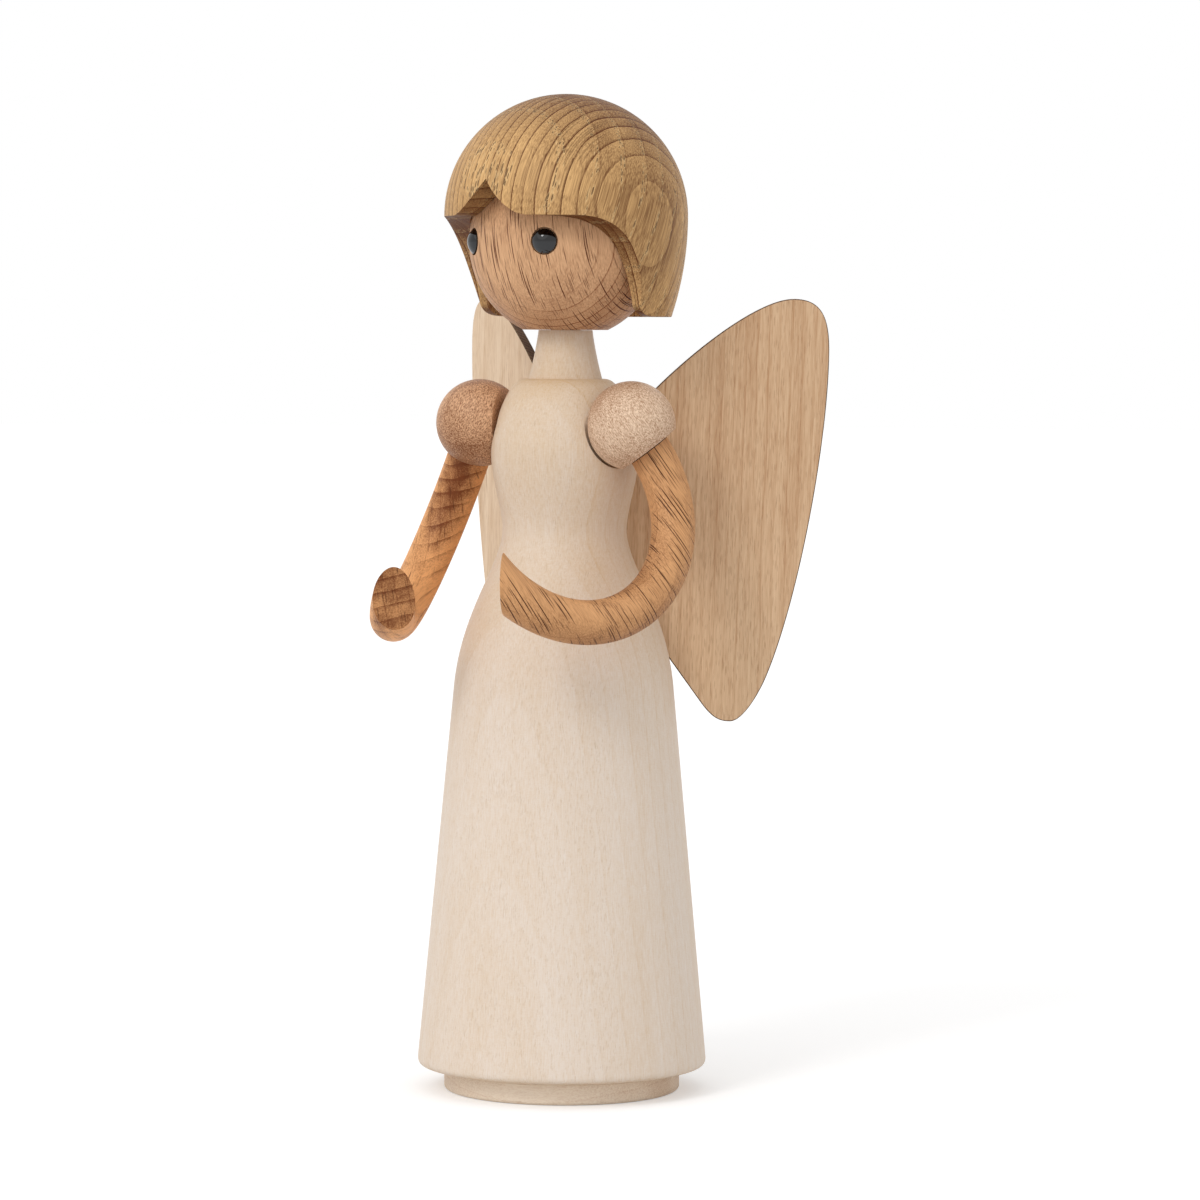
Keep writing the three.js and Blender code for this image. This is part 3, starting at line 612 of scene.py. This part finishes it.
def hair_cap():
    # Dome, drawn in towards a level cut below
    rise = DOME_LEVEL - HAIR_BOTTOM
    draw = DOME_RADIUS - HOLLOW_RADIUS - HAIR_LIP
    bow = (rise ** 2 + draw ** 2) / (2 * draw)
    swing = math.degrees(math.asin((rise - HAIR_EDGE) / bow))
    wall = arc((DOME_RADIUS - bow, DOME_LEVEL), bow, -swing, 0, steps=36)
    profile = [(0, HAIR_BOTTOM), (wall[0][0] - HAIR_EDGE, HAIR_BOTTOM)]
    profile += quadratic(profile[-1], (wall[0][0], HAIR_BOTTOM), wall[0], steps=4)
    profile += wall[1:] + arc((0, DOME_LEVEL), DOME_RADIUS, 0, 90, steps=60)[1:-1]
    profile.append((0, DOME_LEVEL + DOME_RADIUS))
    made = solid("hair_cap_visual", turned(profile, sides=192), head_place())

    # Hollow for the ball
    low = HAIR_BOTTOM - PAST
    hollow = [(0, low), (HOLLOW_RADIUS, low), (HOLLOW_RADIUS, BALL_LEVEL)]
    hollow += arc((0, BALL_LEVEL), HOLLOW_RADIUS, 0, 90, steps=60)[1:-1]
    hollow.append((0, BALL_LEVEL + HOLLOW_RADIUS))

    # Opening round the face, seen from the side, and the parting, seen from the front
    foot = LOCK_FOOT - LOCK_FRONT
    face = [(-CUT_AHEAD, low), (foot, low), (foot, HAIR_BOTTOM)]
    lock_corner, lock_edge = (-LOCK_FRONT, HAIR_BOTTOM), (-LOCK_FRONT, HAIR_BOTTOM + LOCK_ROUND)
    face += quadratic(face[-1], lock_corner, lock_edge, steps=10)
    sweep = (-LOCK_FRONT - LOCK_LEAN, FRINGE_LEVEL), (-LOCK_FRONT - LOCK_SWEEP, FRINGE_LEVEL)
    face += quadratic(face[-1], *sweep, steps=40)
    face.append((-CUT_AHEAD, FRINGE_LEVEL))
    parting = [(-PARTING_HALF, FRINGE_LEVEL - PARTING_PAST), (PARTING_HALF, FRINGE_LEVEL - PARTING_PAST)]
    parting.append((PARTING_HALF, FRINGE_LEVEL))
    peak, end = (0, FRINGE_LEVEL + PARTING_RISE), (-PARTING_HALF, FRINGE_LEVEL)
    parting += quadratic(parting[-1], (PARTING_HALF * PARTING_EASE, FRINGE_LEVEL), peak, steps=30)
    parting += quadratic(parting[-1], (-PARTING_HALF * PARTING_EASE, FRINGE_LEVEL), end, steps=30)
    sideways = Matrix(((0, 0, 1, 0), (1, 0, 0, 0), (0, 1, 0, 0), (0, 0, 0, 1)))
    forwards = Matrix(((1, 0, 0, 0), (0, 0, -1, 0), (0, 1, 0, 0), (0, 0, 0, 1)))
    cut(made, [
        solid("hollow", turned(hollow, sides=192), head_place()),
        solid("face", prism(face, -CUT_HALF, CUT_HALF), head_place() @ sideways),
        solid("parting", prism(parting, BALL_RADIUS / 2, CUT_AHEAD), head_place() @ forwards),
    ])
    return made


def swing_place(side, swing):
    """Shoulder frame turned about the pin to the photographed swing."""
    return shoulder_place(side) @ Matrix.Rotation(math.radians(swing), 4, "X")


def arm_start(side):
    """Direction in which the arm leaves the sleeve."""
    splay = math.radians(ARM_SPLAY)
    return Vector((side * math.cos(splay), 0, -math.sin(splay)))


def sleeve(name, side, swing):
    start = -math.degrees(math.asin(SLEEVE_INNER / SLEEVE_RADIUS))
    profile = [(0, -SLEEVE_INNER)]
    profile += arc((0, 0), SLEEVE_RADIUS, start, 90, steps=64)[:-1]
    profile.append((0, SLEEVE_RADIUS))
    mesh = turned(profile, sides=128)
    mesh.transform(along_x(side))
    along = arm_start(side)
    slice_off(mesh, mesh.verts[:] + mesh.edges[:] + mesh.faces[:], along * SLEEVE_ARM, along)
    return solid(name, mesh, swing_place(side, swing))


def arm(name, side, swing, hand, roll):
    along, ahead = arm_start(side), Vector((0, -1, 0))
    inner = Vector((-side, 0, 0))
    inner = (inner - along * inner.dot(along)).normalized()

    def bend(angle):
        """Point on the rod's centre line, and the direction out of the bend there."""
        middle = along * (BEND_START + ARM_BEND * math.sin(angle)) + ahead * ARM_BEND * (1 - math.cos(angle))
        return middle, along * math.sin(angle) - ahead * math.cos(angle)

    # Rod bent on a little past the palm
    end = math.radians(hand)
    mesh = bmesh.new()
    turns = [2 * math.pi * k / ARM_SIDES for k in range(ARM_SIDES)]
    rings = []
    for i in range(ARM_STEPS + 1):
        middle, out = bend((end + 2 * ARM_RADIUS / ARM_BEND) * i / ARM_STEPS)
        offsets = [(out * math.cos(a) + inner * math.sin(a)) * ARM_RADIUS for a in turns]
        rings.append([mesh.verts.new(middle + offset) for offset in offsets])
    for low, high in zip(rings, rings[1:]):
        for k in range(ARM_SIDES):
            mesh.faces.new((low[k], low[k - 1], high[k - 1], high[k]))
    mesh.faces.new(rings[0])
    mesh.faces.new(rings[-1][::-1])

    # Slanted palm, and the flat against the sleeve
    palm, outward = bend(end)
    tangent = along * math.cos(end) + ahead * math.sin(end)
    lean = inner * math.cos(math.radians(roll)) + outward * math.sin(math.radians(roll))
    slant = math.radians(HAND_SLANT)
    normal = tangent * math.cos(slant) + lean * math.sin(slant)
    for point, direction in ((palm, normal), (along * (SLEEVE_ARM + FIT_GAP), -along)):
        near = [v for v in mesh.verts if (v.co - point).length < 1.4 * ARM_BEND]
        faces = {f for v in near for f in v.link_faces}
        edges = {e for v in near for e in v.link_edges}
        slice_off(mesh, near + list(edges) + list(faces), point, direction)
    return solid(name, mesh, swing_place(side, swing))


def wing_place(side):
    """Wing frame: X outwards along the board, Y up, Z from the front face to the back."""
    upright = Matrix(((1, 0, 0, 0), (0, 0, 1, 0), (0, 1, 0, 0), (0, 0, 0, 1)))
    sweep = Matrix.Rotation(side * math.radians(WING_SWEEP), 4, "Z")
    return Matrix.Translation((0, WING_SET, WAIST_LEVEL)) @ sweep @ upright


def wing_outline(side, room):
    """Outline of a wing, reach and height above the waist, widened by the room."""
    low_heading = math.atan2(WING_LOW_EDGE[1] - WING_ROOT_LOW, WING_LOW_EDGE[0] - WING_ROOT)
    high_heading = math.atan2(WING_ROOT_HIGH - WING_HIGH_EDGE[1], WING_ROOT - WING_HIGH_EDGE[0])
    knots = [(*WING_LOW_EDGE, low_heading, 0, WING_LOW_AFTER)]
    for reach, height, heading, before, after in WING_KNOTS:
        knots.append((reach, height, math.radians(heading), before, after))
    knots.append((*WING_HIGH_EDGE, high_heading, WING_HIGH_BEFORE, 0))
    spots = []
    for reach, height, heading, before, after in knots:
        go = (math.cos(heading), math.sin(heading))
        spot = (reach + room * go[1], height - room * go[0])
        arrive = (spot[0] - before * go[0], spot[1] - before * go[1])
        leave = (spot[0] + after * go[0], spot[1] + after * go[1])
        spots.append((spot, arrive, leave))
    outline = [(WING_ROOT - room, WING_ROOT_LOW - room), spots[0][0]]
    for last, here in zip(spots, spots[1:]):
        outline += bezier(last[0], last[2], here[1], here[0], steps=28)
    outline.append((WING_ROOT - room, WING_ROOT_HIGH + room))
    return [(side * x, y) for x, y in outline]


def wing(name, side, face_wood):
    inner, outer = wing_outline(side, -WING_RIM), wing_outline(side, 0)
    loops = (inner, 0), (outer, WING_RIM), (outer, WING_THICKNESS - WING_RIM), (inner, WING_THICKNESS)
    made = solid(name, stacked(loops), wing_place(side))
    made.data.materials.append(face_wood)
    made.data.materials.append(burnt)
    front = (wing_place(side).to_3x3() @ UP).normalized()
    for face in made.data.polygons:
        face.material_index = 0 if abs(face.normal.dot(front)) > 0.9 else 1
    return made


finish_piece(foot_disc(), "body", "foot_disc", foot_wood)
finish_piece(dress_body(), "body", "dress_body", maple)
finish_piece(head_ball(), "head", "head_ball", beech)
finish_piece(hair_cap(), "head", "hair_cap", oak)
SIDE_WOODS = {
    "left": ("sleeve_pale", pale_sleeve, left_arm_wood, left_birch),
    "right": ("sleeve_dark", dark_sleeve, right_arm_wood, right_birch),
}
for side_name, (side, swing, hand, roll) in ARMS.items():
    sleeve_slot, sleeve_wood, arm_wood, wing_wood = SIDE_WOODS[side_name]
    arm_body = f"{side_name}_arm"
    made = eye(f"eye_{side_name}_visual", side)
    finish_piece(made, "head", f"eye_{side_name}", bead.material)
    made = sleeve(f"sleeve_{side_name}_visual", side, swing)
    finish_piece(made, arm_body, f"sleeve_{side_name}", sleeve_wood)
    made = arm(f"arm_{side_name}_visual", side, swing, hand, roll)
    finish_piece(made, arm_body, f"arm_{side_name}", arm_wood)
    made = wing(f"wing_{side_name}_visual", side, wing_wood)
    finish_piece(made, "body", f"wing_{side_name}", wing_wood)
for node in ("head_dowel", "shoulder_pin_left", "shoulder_pin_right"):
    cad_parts[node].data.materials.clear()
    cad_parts[node].data.materials.append(dowel_wood)


# Stage, light and camera
FLOOR_RADIUS, FLOOR_BOTTOM, FLOOR_TOP = 6000.0, -1.0, -0.02
FLOOR_TONE, FLOOR_LIFT = 0.8, 0.33  # the lift makes the lit floor white and leaves the shadow
SKY_LIGHT, SKY_SHOWN = 0.74, 1.0


def shown_rays(tree):
    """1 for what the camera sees, straight or by reflection or through glass, and 0 for light that falls."""
    path = tree.nodes.new("ShaderNodeLightPath")
    shown = path.outputs["Is Camera Ray"]
    for kind in ("Is Glossy Ray", "Is Transmission Ray"):
        either = tree.nodes.new("ShaderNodeMath")
        either.operation = "MAXIMUM"
        tree.links.new(shown, either.inputs[0])
        tree.links.new(path.outputs[kind], either.inputs[1])
        shown = either.outputs[0]
    return shown


def sun(name, source, spread, strength):
    """Far soft lamp shining from a direction."""
    data = bpy.data.lights.new(name, "SUN")
    data.angle = math.radians(spread)
    data.energy = strength
    light = bpy.data.objects.new(name, data)
    light.rotation_euler = source.to_track_quat("Z", "Y").to_euler()
    scene.collection.objects.link(light)


def turned_towards(first, second, angle):
    """Two square directions turned in their plane, the first towards the second."""
    return first * math.cos(angle) + second * math.sin(angle), second * math.cos(angle) - first * math.sin(angle)


floor_shade = Shade("floor")
floor_surface = floor_shade.surface.inputs
floor_surface["Base Color"].default_value = (FLOOR_TONE, FLOOR_TONE, FLOOR_TONE, 1)
floor_surface["Roughness"].default_value = 0.9
floor_surface["Specular IOR Level"].default_value = 0.0
floor_surface["Emission Color"].default_value = (1, 1, 1, 1)
lift = floor_shade.math("MULTIPLY", shown_rays(floor_shade.tree), FLOOR_LIFT)
floor_shade.put(floor_surface["Emission Strength"], lift)
floor_profile = [(0, FLOOR_BOTTOM), (FLOOR_RADIUS, FLOOR_BOTTOM), (FLOOR_RADIUS, FLOOR_TOP), (0, FLOOR_TOP)]
floor = solid("floor", turned(floor_profile, sides=64))
floor.data.materials.append(floor_shade.material)

place = VIEW_NEAR * CAMERA_DISTANCE + UP * CAMERA_LEVEL
ahead, right = turned_towards(-VIEW_NEAR, VIEW_RIGHT, CAMERA_YAW)
ahead, up = turned_towards(ahead, UP, -CAMERA_TILT)
right, up = turned_towards(right, up, CAMERA_ROLL)
lens = bpy.data.cameras.new("camera")
lens.sensor_width = SENSOR
lens.lens = SENSOR * FOCAL_PIXELS / PHOTO_PIXELS
lens.clip_start, lens.clip_end = 0.01, 50
camera = bpy.data.objects.new("camera", lens)
scene.collection.objects.link(camera)
camera.matrix_world = Matrix((
    (right.x, up.x, -ahead.x, place.x * MM),
    (right.y, up.y, -ahead.y, place.y * MM),
    (right.z, up.z, -ahead.z, place.z * MM),
    (0, 0, 0, 1),
))
scene.camera = camera

sun("key", seen(-0.45, 0.62, 0.62), spread=16, strength=0.6)
sun("soft", seen(-0.45, 0.78, 0.62), spread=75, strength=0.52)

world = bpy.data.worlds.new("studio")
world.use_nodes = True
scene.world = world
sky = world.node_tree
background = sky.nodes["Background"]
background.inputs["Color"].default_value = (1, 1, 1, 1)
strength = sky.nodes.new("ShaderNodeMapRange")
strength.inputs["To Min"].default_value = SKY_LIGHT
strength.inputs["To Max"].default_value = SKY_SHOWN
sky.links.new(shown_rays(sky), strength.inputs["Value"])
sky.links.new(strength.outputs["Result"], background.inputs["Strength"])

scene.view_settings.view_transform = "Standard"
